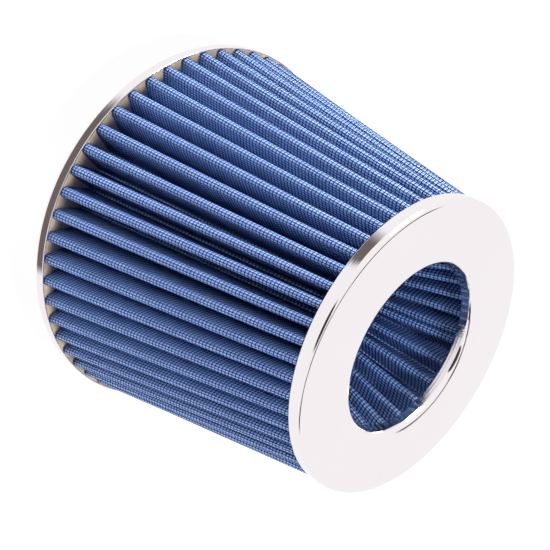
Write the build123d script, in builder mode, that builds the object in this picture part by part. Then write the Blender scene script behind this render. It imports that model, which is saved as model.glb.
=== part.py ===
from build123d import *
from math import asin, atan2, cos, degrees, radians, sin, sqrt, tan
import os

# A cone air filter in millimetres, standing on its neck: +Z runs up the axis and the origin is
# the middle of the neck's end face. A pleated cone stands between a base pan and a ring cap, and
# a second, inverted pleated cone hangs in the mouth of the cap.

# Rubber neck
neck_bore_radius = 38.0
neck_wall = 3.5
neck_length = 20.0
neck_bead_width = 3.0
neck_bead_height = 1.2
neck_flange_width = 7.0
neck_edge_round = 0.8

# Base pan, pressed from sheet
base_radius = 77.5
rim_height = 5.3
pan_wall = 0.6
pan_corner_round = 1.6

# Ring cap, with its skirt outside and its collar around the mouth. The collar leans in, so that the
# mouth is narrowest at its hem
body_height = 126.2
cap_radius = 58.4
cap_wall = 0.7
cap_edge_round = 2.5
skirt_length = 6.5
mouth_radius = 32.5
lip_round = 4.2
collar_lean = 14.1
collar_cover = 1.1
sheet_edge_round = 0.25

# Potting resin in the pan and in the cap
base_resin_depth = 3.5
cap_resin_recess = 1.3

# Outer pleats, a strip whose two ends meet at a seam in one of the valleys. The pleats lean: at the
# cap each of them is further around the axis than at the pan
outer_pleat_count = 52
outer_pleat_depth = 13.5
outer_tip_round_base = 2.0
outer_tip_round_top = 1.6
outer_valley_round = 0.7
outer_seam_angle = -23.61
outer_twist = -7.87
outer_flank_facets = 5

# Inner pleats, a strip whose two ends meet at a seam, with folds that open up around the cone
inner_pleat_count = 27
inner_pleat_depth = 6.6
inner_pleat_length = 68.0
inner_end_radius = 13.0
inner_tip_round_mouth = 1.9
inner_tip_round_end = 1.25
inner_valley_round = 0.6
inner_pitch_growth = 0.12
inner_seam_angle = -2.4
inner_flank_facets = 2
inner_pack_room = 2.62

# Folded sheet of both packs, the flaps that meet at a seam, and the room beside and between the packs
media_thickness = 1.1
fold_facets = 4
flank_bow = 0.12
seam_slit = 0.2
seam_depth = 3.0
pack_clearance = 0.3
pack_spacing = 1.0

# Cup that closes the deep end of the inner cone
end_cup_floor = 2.0
end_cup_wall = 1.4
end_cup_height = 2.5
end_cup_round = 0.6

# Levels up the axis
pan_back = neck_length
pan_floor = pan_back + pan_wall
rim_top = pan_back + rim_height
base_resin_top = pan_floor + base_resin_depth
cap_face = pan_back + body_height
skirt_edge = cap_face - skirt_length
cap_resin_under = skirt_edge + cap_resin_recess
collar_edge = cap_resin_under - collar_cover
lip_level = cap_face - lip_round
inner_end = cap_resin_under - inner_pleat_length

# Radii that follow from them
neck_radius = neck_bore_radius + neck_wall
neck_flange_radius = neck_radius + neck_flange_width
rim_inner_radius = base_radius - pan_wall
skirt_inner_radius = cap_radius - cap_wall
collar_slope = tan(radians(collar_lean))
collar_across = cap_wall / cos(radians(collar_lean))
collar_hem_radius = mouth_radius + collar_across
collar_back_radius = collar_hem_radius + collar_cover * collar_slope
lip_end_level = lip_level + lip_round * sin(radians(collar_lean))
lip_end_radius = mouth_radius + (lip_end_level - collar_edge) * collar_slope
lip_centre_radius = lip_end_radius + lip_round * cos(radians(collar_lean))


def radius_on_line(z, low, high):
    """Radius at height z on the straight side of a cone through two (height, radius) points."""
    share = (z - low[0]) / (high[0] - low[0])
    return low[1] + share * (high[1] - low[1])


outer_base_radius = rim_inner_radius - pack_clearance
outer_top_radius = radius_on_line(
    cap_resin_under,
    (base_resin_top, outer_base_radius),
    (skirt_edge, skirt_inner_radius - pack_clearance),
)
inner_mouth_radius = collar_back_radius + inner_pack_room
outer_top_depth = outer_top_radius - inner_mouth_radius - inner_pleat_depth - pack_spacing


def polar(radius, angle, beside=0):
    """Point on the ray at an angle in degrees, or beside it to the left."""
    return Vector(radius, beside).rotate(Axis.Z, angle)


def outer_strip(tip_radius, tip_round, depth, seam_angle):
    """Folds of the outer pack, each (centre, bend), from one end of its strip to the other.

    A bend is the fold's radius on the face that looks off the axis, negative where the strip
    turns clockwise and zero at its two ends."""
    pitch = 360 / outer_pleat_count
    flap_end = tip_radius - depth
    valley_back_round = outer_valley_round + media_thickness
    flap_bend = valley_back_round
    beside_flap = seam_slit / 2 + flap_bend
    strip = [
        (polar(flap_end, seam_angle, seam_slit / 2), 0),
        (polar(flap_end + seam_depth, seam_angle, beside_flap), flap_bend),
    ]
    for k in range(outer_pleat_count):
        if k > 0:
            valley = polar(flap_end + valley_back_round, seam_angle + k * pitch)
            strip.append((valley, -outer_valley_round))
        strip.append((polar(tip_radius - tip_round, seam_angle + (k + 0.5) * pitch), tip_round))
    strip.append((polar(flap_end + seam_depth, seam_angle, -beside_flap), flap_bend))
    strip.append((polar(flap_end, seam_angle, -seam_slit / 2), 0))
    return strip


def inner_strip(tip_radius, tip_round):
    """Folds of the inner pack in the same form, with tips that look at the axis."""
    tip_centre = tip_radius + tip_round
    valley_back_round = inner_valley_round + media_thickness
    valley_centre = tip_radius + inner_pleat_depth - valley_back_round
    half_seam = asin((tip_round + seam_slit / 2) / tip_centre)
    flap_end = tip_centre * cos(half_seam) + seam_depth
    beside_flap = seam_slit / 2 + media_thickness
    gaps = inner_pleat_count - 1
    pitch = (360 - 2 * degrees(half_seam)) / gaps

    def tip_angle(k):
        from_seam = degrees(half_seam) + k * pitch + inner_pitch_growth * k * (k - gaps) / 2
        return inner_seam_angle + from_seam

    strip = [(polar(flap_end, inner_seam_angle, beside_flap), 0)]
    for k in range(inner_pleat_count):
        if k > 0:
            middle = (tip_angle(k - 1) + tip_angle(k)) / 2
            strip.append((polar(valley_centre, middle), valley_back_round))
        strip.append((polar(tip_centre, tip_angle(k)), media_thickness - tip_round))
    strip.append((polar(flap_end, inner_seam_angle, -beside_flap), 0))
    return strip


def strip_face(strip, offset, flank_facets):
    """Corners of one face of a folded strip, offset from the face that looks off the axis.

    Each fold is a few facets about its centre. Flanks that turn from one end of the pack to the
    other have a few facets too, and belly out a little."""
    normals = []
    for (centre, bend), (next_centre, next_bend) in zip(strip, strip[1:]):
        span = next_centre - centre
        along = span.normalized()
        lean = (bend - next_bend) / span.length
        normals.append(along * lean + along.rotate(Axis.Z, -90) * sqrt(1 - lean**2))
    corners = [strip[0][0] - normals[0] * offset]
    for (centre, bend), arrives, leaves in zip(strip[1:], normals, normals[1:]):
        turn = degrees(atan2(leaves.Y, leaves.X) - atan2(arrives.Y, arrives.X)) % 360
        if bend < 0:
            turn -= 360
        flank_start = corners[-1]
        flank = centre + arrives * (bend - offset) - flank_start
        for facet in range(1, flank_facets):
            share = facet / flank_facets
            belly = arrives * (4 * flank_bow * share * (1 - share))
            corners.append(flank_start + flank * share + belly)
        for facet in range(fold_facets + 1):
            normal = arrives.rotate(Axis.Z, turn * facet / fold_facets)
            corners.append(centre + normal * (bend - offset))
    corners.append(strip[-1][0] - normals[-1] * offset)
    return corners


def strip_section(strip, flank_facets):
    """Face of the sheet's own section, once around the pack."""
    face = strip_face(strip, 0, flank_facets)
    back = strip_face(strip, media_thickness, flank_facets)
    Polygon(*face, *reversed(back), align=None)


# Neck sleeve: a rubber tube with a bead that holds a hose clamp and a flange inside the pan
with BuildPart() as neck_sleeve:
    with BuildSketch(Plane.XZ):
        with BuildLine():
            Polyline(
                (neck_bore_radius, 0),
                (neck_radius + neck_bead_height, 0),
                (neck_radius + neck_bead_height, neck_bead_width),
                (neck_radius, neck_bead_width + neck_bead_height),
                (neck_radius, pan_floor),
                (neck_flange_radius, pan_floor),
                (neck_flange_radius, base_resin_top),
                (neck_bore_radius, base_resin_top),
                close=True,
            )
        make_face()
    revolve(axis=Axis.Z)
    ends = neck_sleeve.edges().filter_by(GeomType.CIRCLE).group_by(Axis.Z)
    fillet(ends[0] + ends[1], radius=neck_edge_round)
    fillet(ends[-1].sort_by(SortBy.RADIUS)[0], radius=neck_edge_round)
neck_sleeve.part.label = "neck_sleeve"

# Base pan: a floor around the neck with a short rim turned up
pan_inner_round = pan_corner_round - pan_wall
corner_centre = (base_radius - pan_corner_round, pan_back + pan_corner_round)
with BuildPart() as base_pan:
    with BuildSketch(Plane.XZ):
        with BuildLine():
            Line((neck_radius, pan_back), (corner_centre[0], pan_back))
            CenterArc(corner_centre, pan_corner_round, -90, 90)
            Line((base_radius, corner_centre[1]), (base_radius, rim_top))
            Line((base_radius, rim_top), (rim_inner_radius, rim_top))
            Line((rim_inner_radius, rim_top), (rim_inner_radius, corner_centre[1]))
            CenterArc(corner_centre, pan_inner_round, -90, 90)
            Line((corner_centre[0], pan_floor), (neck_radius, pan_floor))
            Line((neck_radius, pan_floor), (neck_radius, pan_back))
        make_face()
    revolve(axis=Axis.Z)
    fillet(base_pan.edges().group_by(Axis.Z)[-1], radius=sheet_edge_round)
base_pan.part.label = "base_pan"

# Resin that fills the pan between the neck's flange and the rim, and holds the pleats' wide end
with BuildPart() as base_resin:
    with BuildSketch(Plane.XZ):
        with BuildLine():
            Line((neck_flange_radius, pan_floor), (corner_centre[0], pan_floor))
            CenterArc(corner_centre, pan_inner_round, -90, 90)
            Line((rim_inner_radius, corner_centre[1]), (rim_inner_radius, base_resin_top))
            Line((rim_inner_radius, base_resin_top), (neck_flange_radius, base_resin_top))
            Line((neck_flange_radius, base_resin_top), (neck_flange_radius, pan_floor))
        make_face()
    revolve(axis=Axis.Z)
base_resin.part.label = "base_resin"

# Outer pleats: one folded strip around the cone
base_strip = outer_strip(outer_base_radius, outer_tip_round_base, outer_pleat_depth, outer_seam_angle)
top_seam_angle = outer_seam_angle + outer_twist
top_strip = outer_strip(outer_top_radius, outer_tip_round_top, outer_top_depth, top_seam_angle)
with BuildPart() as outer_pleats:
    with BuildSketch(Plane.XY.offset(base_resin_top)):
        strip_section(base_strip, outer_flank_facets)
    with BuildSketch(Plane.XY.offset(cap_resin_under)):
        strip_section(top_strip, outer_flank_facets)
    loft(ruled=True)
outer_pleats.part.label = "outer_pleats"

# Ring cap: skirt, flat face with a rounded edge, and a lip that rolls into the collar
edge_inner_round = cap_edge_round - cap_wall
lip_inner_round = lip_round - cap_wall
edge_centre = (cap_radius - cap_edge_round, cap_face - cap_edge_round)
lip_centre = (lip_centre_radius, lip_level)
lip_turn = 90 - collar_lean
with BuildPart() as top_cap:
    with BuildSketch(Plane.XZ):
        with BuildLine():
            Line((cap_radius, skirt_edge), (cap_radius, edge_centre[1]))
            CenterArc(edge_centre, cap_edge_round, 0, 90)
            Line((edge_centre[0], cap_face), (lip_centre[0], cap_face))
            lip = CenterArc(lip_centre, lip_round, 90, lip_turn)
            Line(lip @ 1, (mouth_radius, collar_edge))
            Line((mouth_radius, collar_edge), (collar_hem_radius, collar_edge))
            lip_back = CenterArc(lip_centre, lip_inner_round, 90, lip_turn)
            Line((collar_hem_radius, collar_edge), lip_back @ 1)
            Line((lip_centre[0], cap_face - cap_wall), (edge_centre[0], cap_face - cap_wall))
            CenterArc(edge_centre, edge_inner_round, 0, 90)
            Line((skirt_inner_radius, edge_centre[1]), (skirt_inner_radius, skirt_edge))
            Line((skirt_inner_radius, skirt_edge), (cap_radius, skirt_edge))
        make_face()
    revolve(axis=Axis.Z)
    circles = top_cap.edges().filter_by(GeomType.CIRCLE).group_by(Axis.Z)
    fillet(circles[0] + circles[1], radius=sheet_edge_round)
top_cap.part.label = "top_cap"

# Resin that fills the cap above the pleats' ends
with BuildPart() as top_resin:
    with BuildSketch(Plane.XZ):
        with BuildLine():
            lip_back = CenterArc(lip_centre, lip_inner_round, 90, lip_turn)
            Line((collar_back_radius, cap_resin_under), lip_back @ 1)
            Line((lip_centre[0], cap_face - cap_wall), (edge_centre[0], cap_face - cap_wall))
            CenterArc(edge_centre, edge_inner_round, 0, 90)
            Line((skirt_inner_radius, edge_centre[1]), (skirt_inner_radius, cap_resin_under))
            Line((skirt_inner_radius, cap_resin_under), (collar_back_radius, cap_resin_under))
        make_face()
    revolve(axis=Axis.Z)
top_resin.part.label = "top_resin"

# Inner pleats: one folded strip around the inverted cone
end_strip = inner_strip(inner_end_radius, inner_tip_round_end)
mouth_strip = inner_strip(inner_mouth_radius, inner_tip_round_mouth)
with BuildPart() as inner_pleats:
    with BuildSketch(Plane.XY.offset(inner_end)):
        strip_section(end_strip, inner_flank_facets)
    with BuildSketch(Plane.XY.offset(cap_resin_under)):
        strip_section(mouth_strip, inner_flank_facets)
    loft(ruled=True)
inner_pleats.part.label = "inner_pleats"

# End cup: closes the deep end of the inner cone, with a rim around the pleats' backs
end_cup_rim = inner_end + end_cup_height
end_cup_inner_radius = pack_clearance + inner_pleat_depth + radius_on_line(
    end_cup_rim, (inner_end, inner_end_radius), (cap_resin_under, inner_mouth_radius)
)
end_cup_radius = end_cup_inner_radius + end_cup_wall
with BuildPart() as inner_end_cup:
    with BuildSketch(Plane.XZ):
        with BuildLine():
            Polyline(
                (0, inner_end - end_cup_floor),
                (end_cup_radius, inner_end - end_cup_floor),
                (end_cup_radius, end_cup_rim),
                (end_cup_inner_radius, end_cup_rim),
                (end_cup_inner_radius, inner_end),
                (0, inner_end),
                close=True,
            )
        make_face()
    revolve(axis=Axis.Z)
    rims = inner_end_cup.edges().filter_by(GeomType.CIRCLE).group_by(Axis.Z)
    fillet(rims[0] + rims[-1], radius=end_cup_round)
inner_end_cup.part.label = "inner_end_cup"

os.makedirs("parts", exist_ok=True)
export_step(neck_sleeve.part, "parts/neck_sleeve.step")
export_step(base_pan.part, "parts/base_pan.step")
export_step(base_resin.part, "parts/base_resin.step")
export_step(outer_pleats.part, "parts/outer_pleats.step")
export_step(top_cap.part, "parts/top_cap.step")
export_step(top_resin.part, "parts/top_resin.step")
export_step(inner_pleats.part, "parts/inner_pleats.step")
export_step(inner_end_cup.part, "parts/inner_end_cup.step")
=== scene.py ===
from math import asin, cos, degrees, pi, radians, sin, sqrt

import bpy
import numpy as np
from mathutils import Matrix, Vector


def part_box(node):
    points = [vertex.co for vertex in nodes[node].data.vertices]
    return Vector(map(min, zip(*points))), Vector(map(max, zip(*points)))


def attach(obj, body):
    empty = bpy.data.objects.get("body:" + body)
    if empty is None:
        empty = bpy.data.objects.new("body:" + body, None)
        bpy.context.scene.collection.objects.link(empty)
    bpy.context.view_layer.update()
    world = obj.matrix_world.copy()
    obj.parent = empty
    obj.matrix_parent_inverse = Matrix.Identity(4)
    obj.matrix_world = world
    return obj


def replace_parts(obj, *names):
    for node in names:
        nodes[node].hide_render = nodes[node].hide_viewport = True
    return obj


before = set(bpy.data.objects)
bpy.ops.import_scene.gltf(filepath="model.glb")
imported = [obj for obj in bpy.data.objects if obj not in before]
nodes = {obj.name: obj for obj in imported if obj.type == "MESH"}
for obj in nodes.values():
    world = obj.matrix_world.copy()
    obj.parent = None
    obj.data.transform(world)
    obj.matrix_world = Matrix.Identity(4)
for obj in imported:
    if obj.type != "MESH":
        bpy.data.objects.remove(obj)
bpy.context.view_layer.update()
MM = 0.001

# Folded packs, in millimetres and degrees as in the part
OUTER_PLEATS = 52
OUTER_SEAM_ANGLE = -23.61
OUTER_TWIST = -7.87
OUTER_DEPTH_BASE = 13.5
OUTER_VALLEY_ROUND = 0.7
OUTER_ROUND_BASE, OUTER_ROUND_TOP = 2.0, 1.6
INNER_PLEATS = 27
INNER_DEPTH = 6.6
INNER_VALLEY_ROUND = 0.6
INNER_ROUND_END, INNER_ROUND_MOUTH = 1.25, 1.9
INNER_END_RADIUS, INNER_MOUTH_RADIUS = 13.0, 36.12
INNER_PITCH_GROWTH = 0.12
INNER_SEAM_ANGLE = -2.4
MEDIA = 1.1
FLANK_BOW = 0.12
SEAM_SLIT = 0.2
SEAM_DEPTH = 3.0
PACK_SPACING = 1.0
PACK_CLEARANCE = 0.3

# Facets of a flank, and of a fold that bulges off the axis and one that bulges to it
FLANK_FACETS = 2
OUTER_SHEET_FACETS, INNER_SHEET_FACETS = (8, 6), (6, 8)
OUTER_HOOP_FACETS, INNER_HOOP_FACETS = (8, 3), (3, 8)
SHEET_ROWS = 20
ROD_ROWS = 9

# Slight wander of the pleats around the axis: its size, its waves around the axis, the range of their
# phase per millimetre up the axis, and how soon it sets in from the held ends
WANDER = 0.22
WANDER_AROUND = (3, 7, 12, 17, 23)
WANDER_UPWARD = (0.02, 0.05)
WANDER_ONSET = 8
OUTER_SEED, INNER_SEED = 11, 5

# Wire screens that are folded with the packs
ROD_PITCH = 1.03
HOOP_PITCH = 1.5
WIRE_HALF_WIDTH = 0.22
WIRE_PROUD = 0.12
WIRE_SUNK = 0.06
WIRE_SIDES = 3

# Angle past which an edge of the folded sheet is shown sharp
SHARP_EDGE = 60

# Colours of the finishes
PLATING_HAZY, PLATING_CLEAR = (0.90, 0.875, 0.88), (0.95, 0.93, 0.93)
DYE_DEEP, DYE_PALE = (0.095, 0.195, 0.48), (0.145, 0.27, 0.60)
# Dark colour painted on the gauze next to the wires as their shade
DYE_PAINTED_SHADE_BY_WIRE = (0.009, 0.020, 0.085)
THREAD_PALE = (0.32, 0.47, 0.82)
WIRE_DARK, WIRE_WORN = (0.004, 0.008, 0.034), (0.010, 0.017, 0.062)
RESIN_MOTTLE = [(0.3, (0.20, 0.15, 0.10)), (0.55, (0.29, 0.23, 0.16)), (0.75, (0.38, 0.31, 0.22))]
# Dark colour painted on the resin deep in the folds as shade
RESIN_PAINTED_SHADE = (0.03, 0.03, 0.045)
RUBBER_BLACK, RUBBER_BLOOM = (0.014, 0.014, 0.015), (0.035, 0.035, 0.037)
WHITE = (1.0, 1.0, 1.0, 1.0)

# Edges of the gauze's clear cells, where the painted shade by the wires gives way to the dye, and of its
# pale threads, and how far the threads show
CELL_EDGE = (0.12, 0.6)
THREAD_EDGE = (0.35, 0.7)
THREAD_SHARE = 0.25

# Radii in metres between which the resin goes from painted shade deep in the folds to its clean colour, and
# how far that edge strays
RESIN_SHADE_RADII = (0.071, 0.077)
RESIN_SHADE_STRAY = 0.004

# Camera: where it stands, what it looks at, and its roll about that line
CAMERA_POSITION = (-0.347031, 0.147159, 0.360779)
CAMERA_AIM = (-0.003466, 0.000209, 0.075705)
CAMERA_ROLL = 119.57
CAMERA_LENS = 78.35
SENSOR = 36.0
CLIP_START = 0.01

# Lamps: place from the object's middle in the camera's axes and side, in metres, power in watts, and
# whether the plating mirrors the lamp
LAMPS = {
    "key_lamp": ((0.0, 0.5, 1.0), 0.6, 5.0, False),
    "top_lamp": ((0.40, 0.82, 0.33), 0.45, 20.0, True),
    "mouth_lamp": ((0.76, -0.43, 0.67), 0.3, 30.0, False),
    "low_lamp": ((-0.20, -1.0, 0.10), 0.4, 13.0, False),
    "far_lamp": ((0.58, -0.73, -0.56), 0.6, 9.0, False),
}

# Studio: its even light, and the screens and dark gaps that the plating mirrors. Each edge is a pair
# of values between which the dark sets in, along the camera's axes: right, up and back
EVEN_LIGHT = 0.10
SCREEN_WHITE = (0.975, 0.947, 0.96)
BAND_BROWN = (0.16, 0.13, 0.125)
GAP_BLACK = (0.05, 0.045, 0.045)
BAND_MIDDLE = 0.1
BAND_BEND, BAND_SLOPE = 0.4, 0.5
BAND_FAR_EDGE, BAND_NEAR_EDGE = (-0.21, -0.12), (0.10, 0.13)
BAND_RIGHT_EDGE, BAND_LOWER_EDGE = (0.15, 0.35), (-0.27, -0.22)
FRONT_AXIS, FRONT_EDGE = (-0.48, -0.02, 0.88), (0.945, 0.97)
GAP_AXIS, GAP_OFFSET = (-0.60, 0.79, -0.14), 0.42
GAP_EDGE, GAP_END = (0.05, 0.10), (-0.05, 0.15)

# Floor: half its side in metres, its grey, and the share that shows white to the camera
FLOOR_REACH = 3.0
FLOOR_GREY = (0.82, 0.82, 0.82, 1.0)
FLOOR_GLOW = 0.88


def level(node, end):
    """Height of a node's lower (0) or upper (1) end, in millimetres."""
    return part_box(node)[end].z / MM


def reach(node):
    """Largest distance of a node from the axis, in millimetres."""
    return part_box(node)[1].x / MM


def polar(radius, angle, beside=0.0):
    """Point on the ray at an angle in degrees, or beside it to the left."""
    a = radians(angle)
    return np.array((radius * cos(a) - beside * sin(a), radius * sin(a) + beside * cos(a)))


def outer_strip(tip_radius, tip_round, depth, seam_angle):
    """Folds of the outer pack as (centre, bend) along its strip, as in the part."""
    pitch = 360 / OUTER_PLEATS
    flap_end = tip_radius - depth
    back_round = OUTER_VALLEY_ROUND + MEDIA
    beside = SEAM_SLIT / 2 + back_round
    strip = [
        (polar(flap_end, seam_angle, SEAM_SLIT / 2), 0.0),
        (polar(flap_end + SEAM_DEPTH, seam_angle, beside), back_round),
    ]
    for k in range(OUTER_PLEATS):
        if k > 0:
            strip.append((polar(flap_end + back_round, seam_angle + k * pitch), -OUTER_VALLEY_ROUND))
        strip.append((polar(tip_radius - tip_round, seam_angle + (k + 0.5) * pitch), tip_round))
    strip.append((polar(flap_end + SEAM_DEPTH, seam_angle, -beside), back_round))
    strip.append((polar(flap_end, seam_angle, -SEAM_SLIT / 2), 0.0))
    return strip


def inner_strip(tip_radius, tip_round):
    """Folds of the inner pack in the same form."""
    tip_centre = tip_radius + tip_round
    back_round = INNER_VALLEY_ROUND + MEDIA
    half_seam = asin((tip_round + SEAM_SLIT / 2) / tip_centre)
    flap_end = tip_centre * cos(half_seam) + SEAM_DEPTH
    beside = SEAM_SLIT / 2 + MEDIA
    gaps = INNER_PLEATS - 1
    pitch = (360 - 2 * degrees(half_seam)) / gaps

    def tip_angle(k):
        from_seam = degrees(half_seam) + k * pitch + INNER_PITCH_GROWTH * k * (k - gaps) / 2
        return INNER_SEAM_ANGLE + from_seam

    strip = [(polar(flap_end, INNER_SEAM_ANGLE, beside), 0.0)]
    for k in range(INNER_PLEATS):
        if k > 0:
            middle = (tip_angle(k - 1) + tip_angle(k)) / 2
            strip.append((polar(tip_radius + INNER_DEPTH - back_round, middle), back_round))
        strip.append((polar(tip_centre, tip_angle(k)), MEDIA - tip_round))
    strip.append((polar(flap_end, INNER_SEAM_ANGLE, -beside), 0.0))
    return strip


def strip_face(strip, offset, facets):
    """Points along one face of a folded strip, and the unit normals that look off the axis there.

    The facets are those of a fold that bulges off the axis and of one that bulges to it."""
    normals = []
    for (centre, bend), (next_centre, next_bend) in zip(strip, strip[1:]):
        span = next_centre - centre
        length = np.linalg.norm(span)
        along = span / length
        lean = (bend - next_bend) / length
        normals.append(along * lean + np.array((along[1], -along[0])) * sqrt(1 - lean**2))
    points = [strip[0][0] - normals[0] * offset]
    out = [normals[0]]
    for (centre, bend), arrives, leaves in zip(strip[1:], normals, normals[1:]):
        first = np.arctan2(arrives[1], arrives[0])
        turn = (np.arctan2(leaves[1], leaves[0]) - first) % (2 * pi)
        if bend < 0:
            turn -= 2 * pi
        start = points[-1]
        flank = centre + arrives * (bend - offset) - start
        for share in np.linspace(0, 1, FLANK_FACETS + 1)[1:-1]:
            points.append(start + flank * share + arrives * (4 * FLANK_BOW * share * (1 - share)))
            out.append(arrives)
        count = facets[0] if bend > 0 else facets[1]
        for facet in range(count + 1):
            angle = first + turn * facet / count
            normal = np.array((cos(angle), sin(angle)))
            points.append(centre + normal * (bend - offset))
            out.append(normal)
    points.append(strip[-1][0] - normals[-1] * offset)
    out.append(normals[-1])
    return np.array(points), np.array(out)


class Pack:
    """One folded sheet between two heights: a ruled form with a slight wander from pleat to pleat."""

    def __init__(self, low, high, z_low, z_high, seed):
        self.low = low
        self.high = high
        self.z_low = z_low
        self.z_high = z_high
        draw = np.random.default_rng(seed)
        self.waves = [(m, draw.uniform(*WANDER_UPWARD), draw.uniform(0, 2 * pi)) for m in WANDER_AROUND]

    def face(self, offset, facets):
        """Points and normals of one face at the lower and the upper end."""
        low, normal_low = strip_face(self.low, offset, facets)
        high, normal_high = strip_face(self.high, offset, facets)
        return low, high, normal_low, normal_high

    def wander(self, points, z):
        """Moves points a little around the axis, so that no two pleats stand quite alike."""
        angle = np.arctan2(points[..., 1], points[..., 0])
        swing = sum(np.sin(m * angle + wave * z + phase) for m, wave, phase in self.waves)
        share = (z - self.z_low) / (self.z_high - self.z_low)
        held = np.clip(WANDER_ONSET * share * (1 - share), 0, 1)
        shift = (WANDER * held * swing / len(self.waves))[..., None]
        return points + shift * np.stack([-np.sin(angle), np.cos(angle)], -1)

    def at(self, low, high, share):
        """Points in space at a share of the height, in millimetres."""
        flat = low + (high - low) * share[..., None]
        z = self.z_low + (self.z_high - self.z_low) * share
        return np.concatenate([self.wander(flat, z), z[..., None]], -1)


def mesh_piece(name, points, faces, uvs=None):
    """Mesh object from points in millimetres and lists of corners."""
    mesh = bpy.data.meshes.new(name)
    mesh.from_pydata((points * MM).tolist(), [], faces)
    if uvs is not None:
        layer = mesh.uv_layers.new(name="folded_out")
        corners = np.empty(len(mesh.loops), dtype=np.int32)
        mesh.loops.foreach_get("vertex_index", corners)
        layer.data.foreach_set("uv", uvs[corners].astype(np.float32).ravel())
    mesh.validate()
    mesh.shade_smooth()
    piece = bpy.data.objects.new(name, mesh)
    bpy.context.scene.collection.objects.link(piece)
    return piece


def tube_faces(runs, along):
    """Faces of wires laid out as runs x along x sides points, with closed ends."""
    index = np.arange(runs * along * WIRE_SIDES).reshape(runs, along, WIRE_SIDES)
    turned = np.roll(index, -1, axis=2)
    quads = np.stack([index[:, :-1], turned[:, :-1], turned[:, 1:], index[:, 1:]], -1).reshape(-1, 4)
    return quads.tolist() + index[:, 0, ::-1].tolist() + index[:, -1].tolist()


def wire_run(low, high):
    """Distance along a folded face at half its height, from one end of the strip."""
    middle = (low + high) / 2
    steps = np.linalg.norm(np.diff(middle, axis=0), axis=1)
    return np.concatenate([[0], np.cumsum(steps)])


def folded_sheet(name, pack, facets, screened):
    """The closed sheet itself, with coordinates that count the wires on its screened face."""
    faces_of_sheet = [pack.face(offset, facets)[:2] for offset in (0.0, MEDIA)]
    run = wire_run(*pack.face(screened, facets)[:2])
    count = len(run)
    shares = np.broadcast_to(np.linspace(0, 1, SHEET_ROWS)[:, None], (SHEET_ROWS, count))
    grid = np.stack([pack.at(low[None], high[None], shares) for low, high in faces_of_sheet])
    a, b = np.arange(2 * SHEET_ROWS * count).reshape(2, SHEET_ROWS, count)
    quads = [
        np.stack([a[:-1, :-1], a[:-1, 1:], a[1:, 1:], a[1:, :-1]], -1),
        np.stack([b[:-1, :-1], b[1:, :-1], b[1:, 1:], b[:-1, 1:]], -1),
        np.stack([a[0, :-1], b[0, :-1], b[0, 1:], a[0, 1:]], -1),
        np.stack([a[-1, :-1], a[-1, 1:], b[-1, 1:], b[-1, :-1]], -1),
        np.stack([a[:-1, 0], a[1:, 0], b[1:, 0], b[:-1, 0]], -1),
        np.stack([a[:-1, -1], b[:-1, -1], b[1:, -1], a[1:, -1]], -1),
    ]
    faces = np.concatenate([q.reshape(-1, 4) for q in quads]).tolist()
    hoops_passed = (pack.z_high - pack.z_low) * shares / HOOP_PITCH
    rods_passed = np.broadcast_to(run[None], (SHEET_ROWS, count)) / ROD_PITCH
    uv = np.stack([rods_passed, hoops_passed], -1)
    piece = mesh_piece(name, grid.reshape(-1, 3), faces, np.stack([uv, uv]).reshape(-1, 2))
    piece.data.set_sharp_from_angle(angle=radians(SHARP_EDGE))
    return piece


def wire_corners(centre, normal, tangent):
    """Corners of a wire's section: its crest, and two that are sunk in the sheet."""
    crest = centre + normal * WIRE_PROUD
    left = centre - normal * WIRE_SUNK - tangent * WIRE_HALF_WIDTH
    right = centre - normal * WIRE_SUNK + tangent * WIRE_HALF_WIDTH
    return np.stack([crest, left, right], -2)


def hoops(name, pack, offset, side, facets, z_from, z_to):
    """Wires that follow the folds around the pack, at even heights between two levels."""
    low, high, normal_low, normal_high = pack.face(offset, facets)
    first = int(np.ceil((z_from - pack.z_low) / HOOP_PITCH - 0.5))
    last = int(np.floor((z_to - pack.z_low) / HOOP_PITCH - 0.5))
    heights = (np.arange(first, last + 1) + 0.5) * HOOP_PITCH
    shares = np.broadcast_to((heights / (pack.z_high - pack.z_low))[:, None], (len(heights), len(low)))
    centre = pack.at(low[None], high[None], shares)
    flat = normal_low[None] + (normal_high - normal_low)[None] * shares[..., None]
    flat = side * flat / np.linalg.norm(flat, axis=-1, keepdims=True)
    normal = np.concatenate([flat, np.zeros_like(flat[..., :1])], -1)
    upward = np.broadcast_to(np.array((0.0, 0.0, 1.0)), centre.shape) * side
    corners = wire_corners(centre, normal, upward)
    return mesh_piece(name, corners.reshape(-1, 3), tube_faces(len(heights), len(low)))


def rods(name, pack, offset, side, facets, z_from, z_to):
    """Wires that run along the pleats, evenly spaced over the folds."""
    low, high, normal_low, normal_high = pack.face(offset, facets)
    run = wire_run(low, high)
    spots = (np.arange(int(run[-1] / ROD_PITCH - 0.5)) + 0.5) * ROD_PITCH

    def between(values):
        return np.stack([np.interp(spots, run, values[:, axis]) for axis in (0, 1)], -1)

    height = pack.z_high - pack.z_low
    span = np.linspace((z_from - pack.z_low) / height, (z_to - pack.z_low) / height, ROD_ROWS)
    shares = np.broadcast_to(span[None], (len(spots), ROD_ROWS))
    centre = pack.at(between(low)[:, None], between(high)[:, None], shares)
    flat = between(normal_low)[:, None] + between(normal_high - normal_low)[:, None] * shares[..., None]
    flat = side * flat / np.linalg.norm(flat, axis=-1, keepdims=True)
    still = np.zeros_like(flat[..., :1])
    normal = np.concatenate([flat, still], -1)
    tangent = np.concatenate([-flat[..., 1:], flat[..., :1], still], -1)
    corners = wire_corners(centre, normal, tangent)
    return mesh_piece(name, corners.reshape(-1, 3), tube_faces(len(spots), ROD_ROWS))


def pick(sockets, key):
    """Enabled socket at a place or with a name."""
    enabled = [socket for socket in sockets if socket.enabled]
    if isinstance(key, int):
        return enabled[key]
    return next(socket for socket in enabled if socket.name == key)


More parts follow.
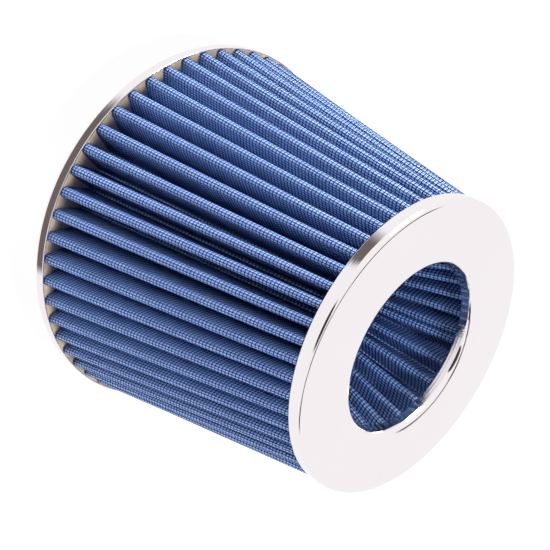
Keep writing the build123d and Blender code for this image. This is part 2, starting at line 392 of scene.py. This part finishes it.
def set_stops(elements, stops):
    """Sets a colour ramp's stops, given as (place, colour)."""
    while len(elements) < len(stops):
        elements.new(0.5)
    for element, (place, colour) in zip(elements, stops):
        element.position = place
        element.color = (*colour, 1.0)


class Val:
    """A socket of a node tree. Arithmetic on it adds Math nodes, and node() adds any other node."""

    def __init__(self, tree, socket=None):
        self.tree = tree
        self.socket = socket

    def node(self, kind, settings, inputs, output=0):
        """New node with its settings, its sockets' values or links, and the output to go on with."""
        made = self.tree.nodes.new(kind)
        for key, value in settings.items():
            if key == "stops":
                set_stops(made.color_ramp.elements, value)
            else:
                setattr(made, key, value)
        for key, value in inputs.items():
            target = pick(made.inputs, key)
            if isinstance(value, Val):
                self.tree.links.new(value.socket, target)
            else:
                target.default_value = value
        return Val(self.tree, pick(made.outputs, output))

    def also(self, output):
        """Another output of the node that this socket belongs to."""
        return Val(self.tree, self.socket.node.outputs[output])

    def math(self, operation, *values):
        return self.node("ShaderNodeMath", {"operation": operation}, dict(enumerate(values)))

    def __add__(self, other):
        return self.math("ADD", self, other)

    __radd__ = __add__

    def __sub__(self, other):
        return self.math("SUBTRACT", self, other)

    def __rsub__(self, other):
        return self.math("SUBTRACT", other, self)

    def __mul__(self, other):
        return self.math("MULTIPLY", self, other)

    __rmul__ = __mul__


def start_material(name):
    """New material with a Principled shader, its tree and the shader's node."""
    made = bpy.data.materials.new(name)
    made.use_nodes = True
    tree = Val(made.node_tree)
    shader = made.node_tree.nodes["Principled BSDF"]
    return made, tree, shader


def set_inputs(tree, shader, values):
    """Sets or links a shader's sockets by name."""
    for name, value in values.items():
        if isinstance(value, Val):
            tree.tree.links.new(value.socket, shader.inputs[name])
        else:
            shader.inputs[name].default_value = value


def noise(tree, vector, scale, detail, roughness=0.5):
    inputs = {"Vector": vector, "Scale": scale, "Detail": detail, "Roughness": roughness}
    return tree.node("ShaderNodeTexNoise", {}, inputs)


def mix_colour(tree, factor, first, second):
    """Colour between two, each a link or three numbers."""
    first, second = (end if isinstance(end, Val) else (*end, 1.0) for end in (first, second))
    return tree.node("ShaderNodeMix", {"data_type": "RGBA"}, {"Factor": factor, "A": first, "B": second})


def smooth(tree, value, edge):
    """0 below the edge's first value, 1 above its second and a smooth step between."""
    settings = {"interpolation_type": "SMOOTHSTEP"}
    inputs = {"Value": value, "From Min": edge[0], "From Max": edge[1]}
    return tree.node("ShaderNodeMapRange", settings, inputs)


def bump(tree, height, distance):
    return tree.node("ShaderNodeBump", {}, {"Height": height, "Distance": distance})


def object_place(tree):
    return tree.node("ShaderNodeTexCoord", {}, {}, "Object")


def axis_distance(tree, place):
    """Distance of a place from the filter's axis."""
    flattened = {0: place, 1: (1.0, 1.0, 0.0)}
    off_axis = tree.node("ShaderNodeVectorMath", {"operation": "MULTIPLY"}, flattened)
    return tree.node("ShaderNodeVectorMath", {"operation": "LENGTH"}, {0: off_axis}, "Value")


def plated_metal():
    """Polished plating over drawn sheet: faint rings around the axis, buffing marks and a little haze."""
    made, tree, shader = start_material("plated_metal")
    place = object_place(tree)
    height = tree.node("ShaderNodeSeparateXYZ", {}, {"Vector": place}, "Z")
    radius = axis_distance(tree, place)
    profile = tree.node("ShaderNodeCombineXYZ", {}, {"X": radius, "Y": 0.0, "Z": height})
    rings = noise(tree, profile, scale=1100.0, detail=3.0)
    haze = noise(tree, place, scale=16.0, detail=4.0, roughness=0.6)
    buffing = noise(tree, place, scale=900.0, detail=2.0)
    set_inputs(tree, shader, {
        "Base Color": mix_colour(tree, haze, PLATING_HAZY, PLATING_CLEAR),
        "Metallic": 1.0,
        "Roughness": 0.035 + 0.03 * haze + 0.015 * buffing,
        "Normal": bump(tree, rings, distance=0.00002),
    })
    return made


def blue_gauze():
    """Dyed, oiled gauze seen through the screen: threads, soft cushions between wires, uneven dye, and
    painted shade darkening it toward the wires.
    """
    made, tree, shader = start_material("blue_gauze")
    place = object_place(tree)
    folded_out = tree.node("ShaderNodeUVMap", {"uv_map": "folded_out"}, {})
    rods_passed = tree.node("ShaderNodeSeparateXYZ", {}, {"Vector": folded_out}, "X")
    hoops_passed = rods_passed.also("Y")

    def hump(passed):
        return tree.math("ABSOLUTE", tree.math("SINE", (passed - 0.5) * pi))

    cushion = hump(rods_passed) * hump(hoops_passed)
    dye = noise(tree, place, scale=60.0, detail=3.0)
    lint = noise(tree, place, scale=1400.0, detail=2.0)
    clear = mix_colour(tree, dye, DYE_DEEP, DYE_PALE)
    # Painted shade: the gauze darkens from the middle of each cell toward the wires
    dye_with_wire_shade = mix_colour(tree, smooth(tree, cushion, CELL_EDGE), DYE_PAINTED_SHADE_BY_WIRE, clear)
    threads = mix_colour(tree, smooth(tree, lint, THREAD_EDGE), dye_with_wire_shade, THREAD_PALE)
    set_inputs(tree, shader, {
        "Base Color": mix_colour(tree, THREAD_SHARE, dye_with_wire_shade, threads),
        "Roughness": 0.30 + 0.14 * lint,
        "Specular IOR Level": 0.6,
        "Coat Weight": 0.25,
        "Coat Roughness": 0.3,
        "Normal": bump(tree, cushion + 0.3 * lint, distance=0.00012),
    })
    return made


def coated_wire():
    """Thin wire with a dark blue coat, a little worn."""
    made, tree, shader = start_material("coated_wire")
    wear = noise(tree, object_place(tree), scale=500.0, detail=2.0)
    set_inputs(tree, shader, {
        "Base Color": mix_colour(tree, wear, WIRE_DARK, WIRE_WORN),
        "Roughness": 0.42 + 0.2 * wear,
        "Specular IOR Level": 0.1,
    })
    return made


def potting_resin():
    """Poured cream resin: mottled, with small pits, and with painted shade darkening it deep in the folds.
    """
    made, tree, shader = start_material("potting_resin")
    place = object_place(tree)
    mottle = noise(tree, place, scale=90.0, detail=5.0, roughness=0.6)
    pits = noise(tree, place, scale=700.0, detail=2.0)
    clean = tree.node("ShaderNodeValToRGB", {"stops": RESIN_MOTTLE}, {"Fac": mottle})
    # Painted shade: the resin darkens toward the axis, deep between the pleats, with a wavering edge
    stray = RESIN_SHADE_STRAY * (mottle - 0.5)
    unshaded_rim = smooth(tree, axis_distance(tree, place) + stray, RESIN_SHADE_RADII)
    set_inputs(tree, shader, {
        "Base Color": mix_colour(tree, unshaded_rim, RESIN_PAINTED_SHADE, clean),
        "Roughness": 0.55 + 0.2 * pits,
        "Normal": bump(tree, mottle + 0.4 * pits, distance=0.0004),
    })
    return made


def moulded_rubber():
    """Black moulded rubber with a fine grain and faint grey bloom."""
    made, tree, shader = start_material("moulded_rubber")
    place = object_place(tree)
    grain = noise(tree, place, scale=1200.0, detail=3.0)
    bloom = noise(tree, place, scale=35.0, detail=4.0)
    set_inputs(tree, shader, {
        "Base Color": mix_colour(tree, bloom, RUBBER_BLACK, RUBBER_BLOOM),
        "Roughness": 0.45 + 0.25 * bloom,
        "Normal": bump(tree, grain, distance=0.00006),
    })
    return made


def dress(piece, material):
    """Gives a piece one material."""
    piece.data.materials.clear()
    piece.data.materials.append(material)


def build_packs():
    """The two folded sheets and their screens, in place of the plain folded solids."""
    gauze = blue_gauze()
    wire = coated_wire()
    base_tip = reach("base_resin") - PACK_CLEARANCE
    low, high = level("outer_pleats", 0), level("outer_pleats", 1)
    skirt_tip = reach("top_resin") - PACK_CLEARANCE
    skirt_edge = level("top_cap", 0)
    top_tip = base_tip + (skirt_tip - base_tip) * (high - low) / (skirt_edge - low)
    top_depth = top_tip - INNER_MOUTH_RADIUS - INNER_DEPTH - PACK_SPACING
    inner_low = level("inner_pleats", 0)
    outer = Pack(
        outer_strip(base_tip, OUTER_ROUND_BASE, OUTER_DEPTH_BASE, OUTER_SEAM_ANGLE),
        outer_strip(top_tip, OUTER_ROUND_TOP, top_depth, OUTER_SEAM_ANGLE + OUTER_TWIST),
        low, high, OUTER_SEED,
    )
    inner = Pack(
        inner_strip(INNER_END_RADIUS, INNER_ROUND_END),
        inner_strip(INNER_MOUTH_RADIUS, INNER_ROUND_MOUTH),
        inner_low, high, INNER_SEED,
    )
    half = (low + high) / 2
    sheets = [
        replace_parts(folded_sheet("outer_gauze", outer, OUTER_SHEET_FACETS, 0.0), "outer_pleats"),
        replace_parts(folded_sheet("inner_gauze", inner, INNER_SHEET_FACETS, MEDIA), "inner_pleats"),
    ]
    for piece in sheets:
        dress(piece, gauze)
    screens = [
        hoops("outer_hoops_lower", outer, 0.0, 1, OUTER_HOOP_FACETS, low, half),
        hoops("outer_hoops_upper", outer, 0.0, 1, OUTER_HOOP_FACETS, half, high),
        rods("outer_rods", outer, 0.0, 1, OUTER_SHEET_FACETS, low, high),
        hoops("inner_hoops", inner, MEDIA, -1, INNER_HOOP_FACETS, inner_low, high),
        rods("inner_rods", inner, MEDIA, -1, INNER_SHEET_FACETS, inner_low, high),
    ]
    for piece in screens:
        dress(piece, wire)
    for piece in sheets + screens:
        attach(piece, "root")


def dress_nodes():
    """Finishes of the pieces that are shown as modelled."""
    plating = plated_metal()
    resin = potting_resin()
    rubber = moulded_rubber()
    for name, material in (
        ("base_pan", plating), ("top_cap", plating),
        ("base_resin", resin), ("top_resin", resin),
        ("neck_sleeve", rubber), ("inner_end_cup", rubber),
    ):
        dress(nodes[name], material)


def build_camera():
    """Camera at the photograph's viewing angle."""
    data = bpy.data.cameras.new("camera")
    data.lens = CAMERA_LENS
    data.sensor_width = SENSOR
    data.clip_start = CLIP_START
    camera = bpy.data.objects.new("camera", data)
    bpy.context.scene.collection.objects.link(camera)
    bpy.context.scene.camera = camera
    position, aim = Vector(CAMERA_POSITION), Vector(CAMERA_AIM)
    turn = (aim - position).to_track_quat("-Z", "Y").to_matrix().to_4x4()
    roll = Matrix.Rotation(radians(CAMERA_ROLL), 4, "Z")
    camera.matrix_world = Matrix.Translation(position) @ turn @ roll
    return camera


def build_floor():
    """Pale floor that shows nearly white to the camera and still takes the object's shadow."""
    s = FLOOR_REACH
    mesh = bpy.data.meshes.new("floor")
    mesh.from_pydata([(-s, -s, 0), (s, -s, 0), (s, s, 0), (-s, s, 0)], [], [(0, 1, 2, 3)])
    floor = bpy.data.objects.new("floor", mesh)
    bpy.context.scene.collection.objects.link(floor)
    made, tree, shader = start_material("pale_floor")
    set_inputs(tree, shader, {"Base Color": FLOOR_GREY, "Roughness": 0.9})
    glow = tree.node("ShaderNodeEmission", {}, {"Color": WHITE, "Strength": 1.0})
    seen = tree.node("ShaderNodeLightPath", {}, {}, "Is Camera Ray")
    surface = Val(tree.tree, shader.outputs["BSDF"])
    both = tree.node("ShaderNodeMixShader", {}, {0: FLOOR_GLOW * seen, 1: surface, 2: glow})
    output = made.node_tree.nodes["Material Output"]
    made.node_tree.links.new(both.socket, output.inputs["Surface"])
    mesh.materials.append(made)
    floor.visible_glossy = False


def build_world(camera):
    """White studio: even light for the matt pieces, and dark gaps between the screens for the plating."""
    world = bpy.data.worlds.new("studio")
    bpy.context.scene.world = world
    world.use_nodes = True
    world.node_tree.nodes.clear()
    tree = Val(world.node_tree)
    direction = tree.node("ShaderNodeTexCoord", {}, {}, "Generated")
    axes = camera.matrix_world.to_3x3()

    def toward(axis):
        settings = {"operation": "DOT_PRODUCT"}
        return tree.node("ShaderNodeVectorMath", settings, {0: direction, 1: axis}, "Value")

    right, up, back = (toward(axes.col[k]) for k in range(3))

    def along(axis):
        return right * axis[0] + up * axis[1] + back * axis[2]

    bend = tree.math("MINIMUM", up - BAND_BEND, 0.0)
    from_middle = back - (BAND_MIDDLE + BAND_SLOPE * bend)
    across_band = smooth(tree, from_middle, BAND_FAR_EDGE) * (1 - smooth(tree, from_middle, BAND_NEAR_EDGE))
    along_band = smooth(tree, 0 - right, BAND_RIGHT_EDGE) * smooth(tree, up, BAND_LOWER_EDGE)
    screens = mix_colour(tree, across_band * along_band, SCREEN_WHITE, BAND_BROWN)
    front = smooth(tree, along(FRONT_AXIS), FRONT_EDGE)
    from_gap = tree.math("ABSOLUTE", along(GAP_AXIS) + GAP_OFFSET)
    gap = (1 - smooth(tree, from_gap, GAP_EDGE)) * smooth(tree, back, GAP_END)
    mirrored = mix_colour(tree, tree.math("MAXIMUM", front, gap), screens, GAP_BLACK)
    camera_ray = tree.node("ShaderNodeLightPath", {}, {}, "Is Camera Ray")
    glossy_ray = camera_ray.also("Is Glossy Ray")
    even = tree.node("ShaderNodeBackground", {}, {"Color": WHITE, "Strength": EVEN_LIGHT})
    mirror = tree.node("ShaderNodeBackground", {}, {"Color": mirrored, "Strength": 1.0})
    white = tree.node("ShaderNodeBackground", {}, {"Color": WHITE, "Strength": 1.0})
    lit = tree.node("ShaderNodeMixShader", {}, {0: glossy_ray, 1: even, 2: mirror})
    both = tree.node("ShaderNodeMixShader", {}, {0: camera_ray, 1: lit, 2: white})
    output = world.node_tree.nodes.new("ShaderNodeOutputWorld")
    world.node_tree.links.new(both.socket, output.inputs["Surface"])


def soft_lamp(name, camera, place, side, power, mirrored):
    """Large square lamp that looks at the object's middle."""
    data = bpy.data.lights.new(name, "AREA")
    data.shape = "SQUARE"
    data.size = side
    data.energy = power
    lamp = bpy.data.objects.new(name, data)
    bpy.context.scene.collection.objects.link(lamp)
    aim = Vector(CAMERA_AIM)
    lamp.location = aim + camera.matrix_world.to_3x3() @ Vector(place)
    lamp.rotation_mode = "QUATERNION"
    lamp.rotation_quaternion = (aim - lamp.location).to_track_quat("-Z", "Y")
    lamp.visible_glossy = mirrored


build_packs()
dress_nodes()
camera = build_camera()
build_floor()
build_world(camera)
for lamp_name, (place, side, power, mirrored) in LAMPS.items():
    soft_lamp(lamp_name, camera, place, side, power, mirrored)
bpy.context.scene.view_settings.view_transform = "Standard"
